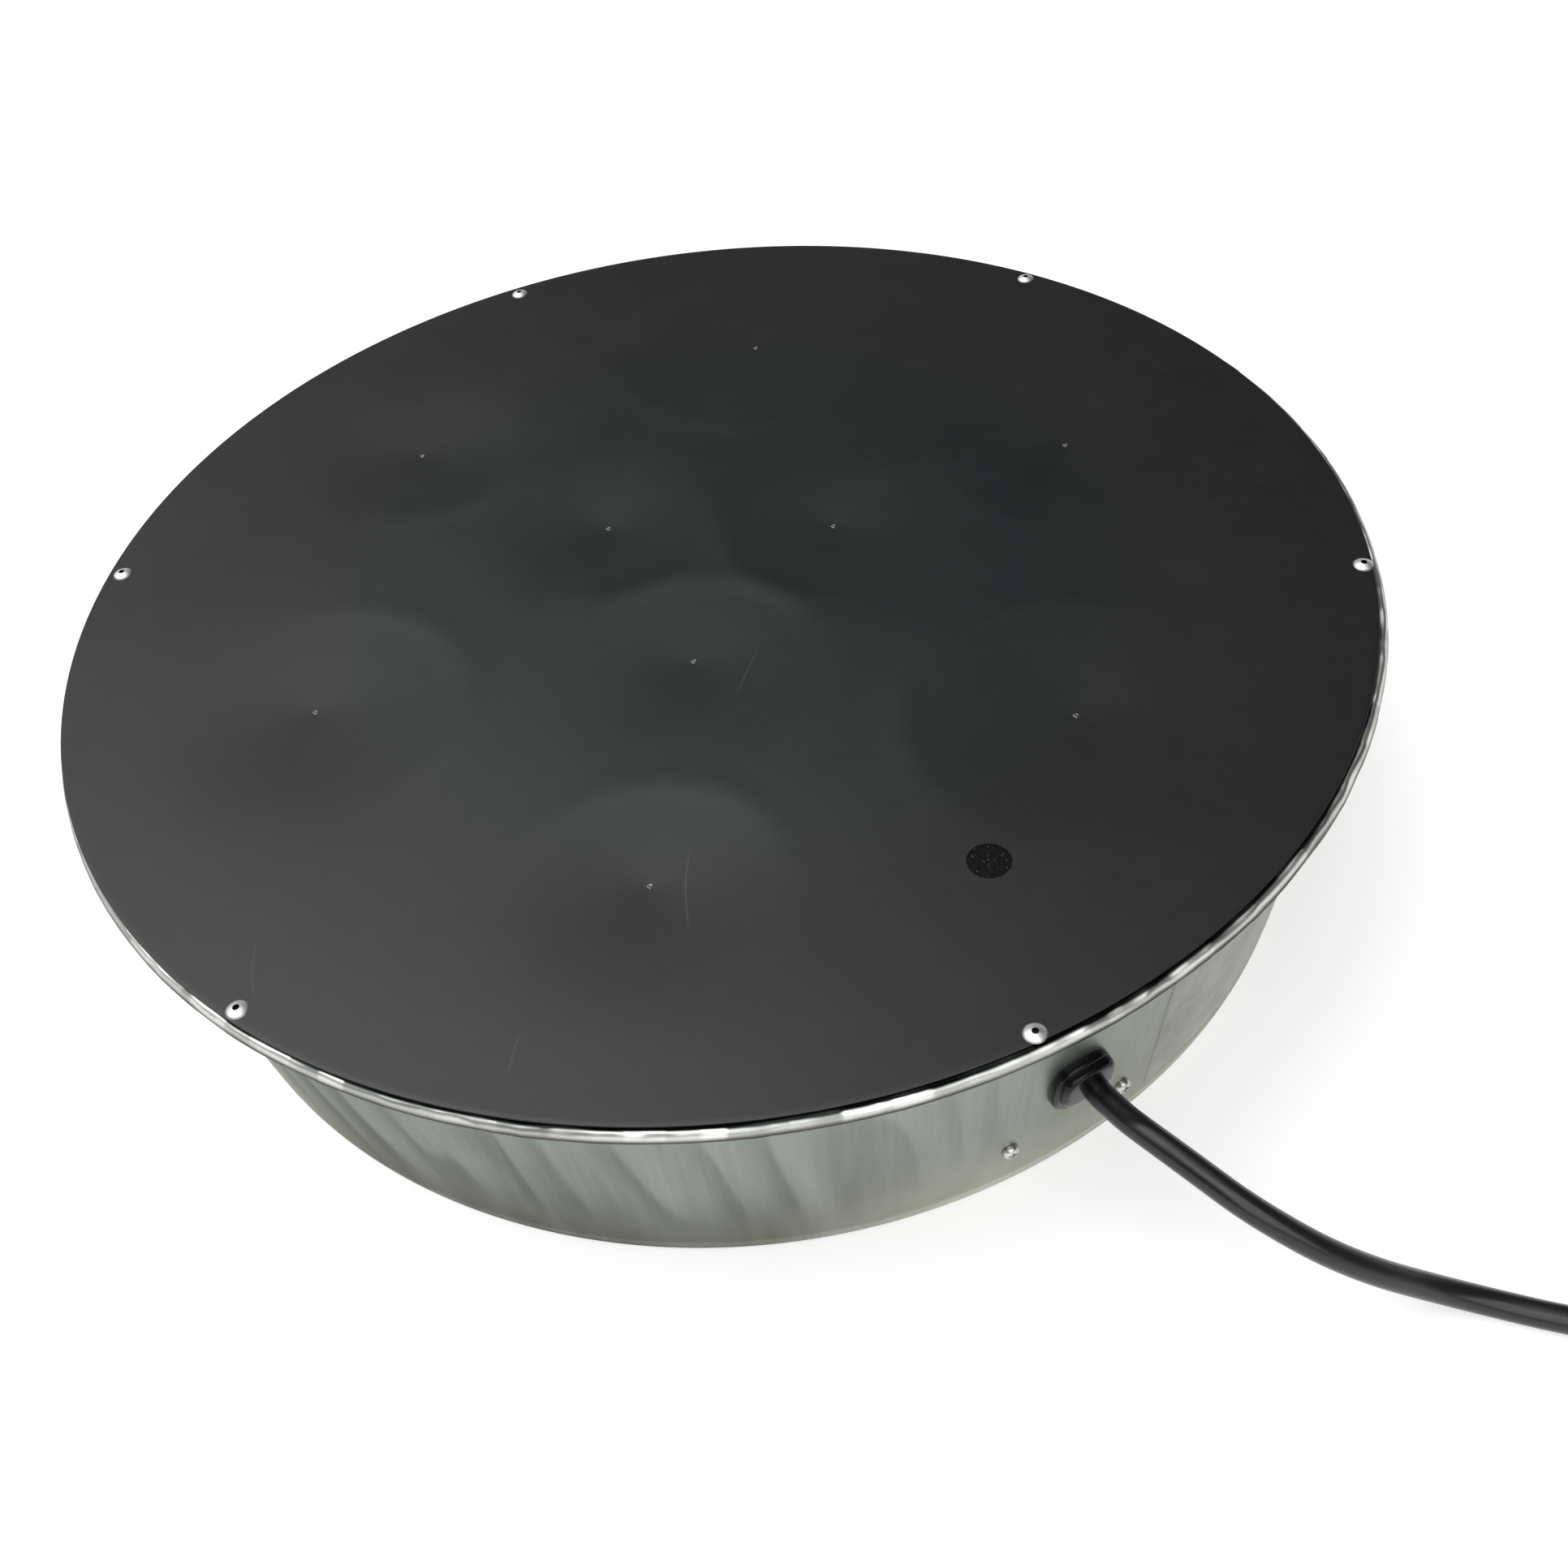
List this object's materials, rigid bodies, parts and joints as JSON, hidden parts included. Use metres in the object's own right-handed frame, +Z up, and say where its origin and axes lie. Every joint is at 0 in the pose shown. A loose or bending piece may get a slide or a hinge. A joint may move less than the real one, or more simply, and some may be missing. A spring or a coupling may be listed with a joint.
{
  "type": "heated poultry drinker base",
  "caption": "Round galvanised pan with a rolled rim and a riveted black plate; warms a poultry drinker stood on it from a foil element, with a snap-disc thermostat and a mains cord.",
  "frame": {"origin": "middle of the pan's underside, on the surface it stands on", "axes": "+Z up; the cord and strain relief are on the -Y side; +X to the right seen from the cord's side"},
  "size_m": [0.4439, 0.5802, 0.0926],
  "materials": {
    "galvanised": "dull galvanised sheet, streaked",
    "black_coat": "satin black coating",
    "rivet_metal": "plain aluminium",
    "zinc": "zinc plated",
    "seal_resin": "glossy black sealant",
    "foil": "bright foil",
    "cable_jacket": "silicone jacket",
    "glass_wool": "glass-fibre blanket",
    "spring_brass": "plain",
    "phenolic": "moulded phenolic",
    "ceramic": "glazed",
    "lead_black": "insulation",
    "lead_white": "insulation",
    "lead_green": "insulation",
    "black_nylon": "moulded nylon",
    "cord_jacket": "smooth jacket",
    "label_film": "matt foil film, blank"
  },
  "bodies": {
    "base": {"pan": "galvanised", "heater_plate": "black_coat", "plate_rivets": "rivet_metal", "rivet_stems": "zinc", "sensor_plug": "seal_resin", "weld_pins": "zinc", "pin_washers": "zinc", "element_foil": "foil", "heating_cable": "cable_jacket", "cover_foil": "foil", "insulation_blanket": "glass_wool", "thermostat_cup": "foil", "bimetal_disc": "spring_brass", "thermostat_body": "phenolic", "arm_terminal": "spring_brass", "fixed_terminal": "spring_brass", "thermostat_base": "phenolic", "thermostat_bracket": "zinc", "lead_receptacles": "zinc", "live_lead": "lead_black", "switched_lead": "lead_black", "return_lead": "lead_white", "neutral_lead": "lead_white", "earth_lead": "lead_green", "element_ferrules": "zinc", "crimp_cap": "ceramic", "earth_ring": "zinc", "splice_tray": "zinc", "wall_screws": "zinc", "wall_nuts": "zinc", "cord_grip": "black_nylon", "grip_wedge": "black_nylon", "cord_tail": "cord_jacket", "foil_label": "label_film", "power_cord": "cord_jacket", "cord_coil": "cord_jacket", "coil_tie": "black_nylon", "plug_body": "cord_jacket", "plug_blades": "spring_brass", "plug_earth_pin": "spring_brass"},
    "push_pin": {"transfer_pin": "ceramic"},
    "switch_arm": {"contact_arm": "spring_brass"}
  },
  "joints": [
    {"name": "disc_snap", "type": "slide", "parent": "base", "child": "push_pin", "axis": [0, 0, 1], "range_m": [0, 0.00035], "deforming": ["bimetal_disc"]},
    {"name": "contact_swing", "type": "hinge", "parent": "base", "child": "switch_arm", "pos_m": [-0.0046, -0.152, 0.08191], "axis": [0, -1, 0], "range_deg": [0, 4.4]}
  ],
  "couplings": [
    {"joint": "contact_swing", "follows": "disc_snap", "rad_per_m": 217.39}
  ]
}
